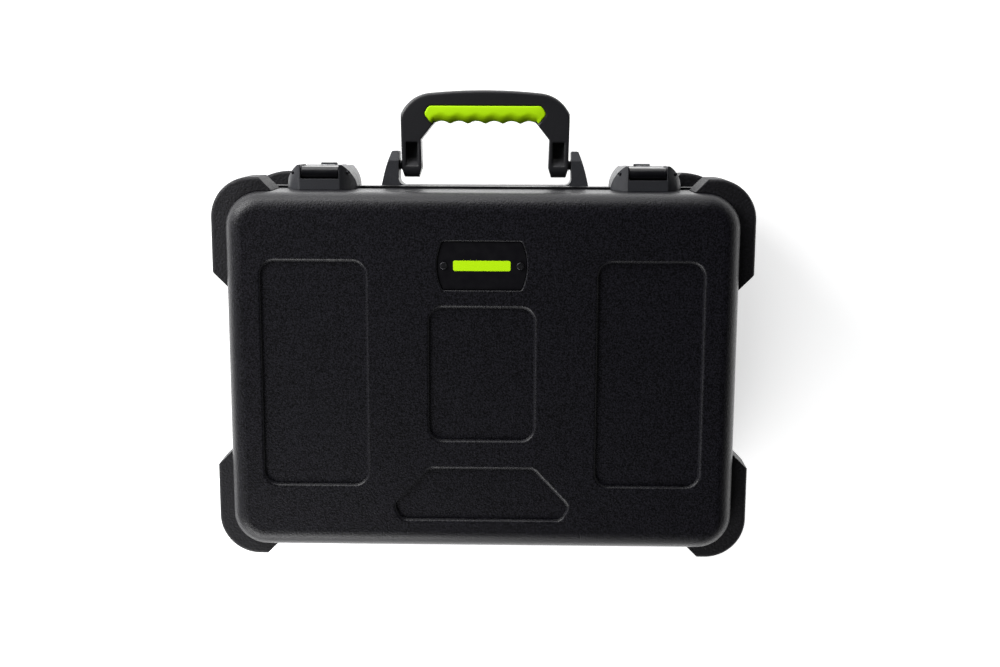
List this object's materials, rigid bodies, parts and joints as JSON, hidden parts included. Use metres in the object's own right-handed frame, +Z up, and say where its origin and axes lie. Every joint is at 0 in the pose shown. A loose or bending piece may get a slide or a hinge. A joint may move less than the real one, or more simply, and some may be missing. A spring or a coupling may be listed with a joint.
{
  "type": "microphone case",
  "caption": "Black moulded carrying case for microphones, lying on its base: hinged lid, two hasp latches with key locks, folding handle with a lime grip, foam drops inside.",
  "frame": {"origin": "centre of the base's flat bottom face, on which the case lies", "axes": "+Z up through the lid, +X along the width, -Y towards the latches and handle, +Y towards the hinges"},
  "size_m": [0.4818, 0.4249, 0.19],
  "materials": {
    "shell": "black moulded, fine leather grain",
    "rim": "black, smooth satin",
    "gasket": "matte",
    "plate": "black, smooth",
    "steel": "blackened steel",
    "hardware": "black, fine spark texture",
    "handle": "charcoal, soft satin",
    "grip": "lime, soft matte",
    "lock": "dark nickel",
    "hinge": "black powder coat",
    "foam": "charcoal open-cell foam"
  },
  "bodies": {
    "base": {"base_shell": "shell", "base_rim": "rim", "gasket": "gasket", "handle_bracket": "hardware", "backing_plate": "steel", "handle_pins": "steel", "handle_bushes": "hardware", "hinge_pins": "steel", "latch_rivets_base": "steel", "hinge_rivets_base": "steel", "bracket_rivets": "steel", "base_pad": "foam", "foam_row_1": "foam", "foam_row_2": "foam", "foam_row_3": "foam", "foam_bay": "foam", "lock_body_left": "hardware", "lock_body_right": "hardware", "hinge_leaf_base_left": "hinge", "hinge_leaf_base_right": "hinge", "base_bumper_latch_left": "shell", "base_bumper_latch_right": "shell", "base_bumper_hinge_left": "shell", "base_bumper_hinge_right": "shell"},
    "lid": {"lid_shell": "shell", "lid_rim": "rim", "name_plate": "plate", "plate_screws": "steel", "latch_rivets_lid": "steel", "hinge_rivets_lid": "steel", "lid_foam": "foam", "latch_hinge_block_left": "hardware", "latch_hinge_block_right": "hardware", "hasp_pin_left": "steel", "hasp_pin_right": "steel", "hinge_leaf_lid_left": "hinge", "hinge_leaf_lid_right": "hinge", "lid_bumper_latch_left": "shell", "lid_bumper_latch_right": "shell", "lid_bumper_hinge_left": "shell", "lid_bumper_hinge_right": "shell"},
    "handle": {"handle_frame": "handle", "handle_grip": "grip"},
    "hasp_left": {"hasp_left": "hardware"},
    "lock_cylinder_left": {"lock_cylinder_left": "lock"},
    "release_slider_left": {"release_slider_left": "hardware"},
    "hasp_right": {"hasp_right": "hardware"},
    "lock_cylinder_right": {"lock_cylinder_right": "lock"},
    "release_slider_right": {"release_slider_right": "hardware"}
  },
  "joints": [
    {"name": "lid_hinge", "type": "hinge", "parent": "base", "child": "lid", "pos_m": [0, 0.1675, 0.12], "axis": [-1, 0, 0], "range_deg": [0, 100]},
    {"name": "handle_swing", "type": "hinge", "parent": "base", "child": "handle", "pos_m": [0, -0.1813, 0.09], "axis": [1, 0, 0], "range_deg": [-90, 90]},
    {"name": "hasp_left_swing", "type": "hinge", "parent": "lid", "child": "hasp_left", "pos_m": [0.146, -0.1755, 0.1463], "axis": [-1, 0, 0], "range_deg": [0, 110]},
    {"name": "lock_left_turn", "type": "hinge", "parent": "base", "child": "lock_cylinder_left", "pos_m": [0.146, -0.161, 0.1025], "axis": [0, -1, 0], "range_deg": [0, 90]},
    {"name": "release_left_slide", "type": "slide", "parent": "base", "child": "release_slider_left", "axis": [0, 0, -1], "range_m": [0, 0.0026], "stiffness_N_per_m": 300},
    {"name": "hasp_right_swing", "type": "hinge", "parent": "lid", "child": "hasp_right", "pos_m": [-0.146, -0.1755, 0.1463], "axis": [-1, 0, 0], "range_deg": [0, 110]},
    {"name": "lock_right_turn", "type": "hinge", "parent": "base", "child": "lock_cylinder_right", "pos_m": [-0.146, -0.161, 0.1025], "axis": [0, -1, 0], "range_deg": [0, 90]},
    {"name": "release_right_slide", "type": "slide", "parent": "base", "child": "release_slider_right", "axis": [0, 0, -1], "range_m": [0, 0.0026], "stiffness_N_per_m": 300}
  ]
}
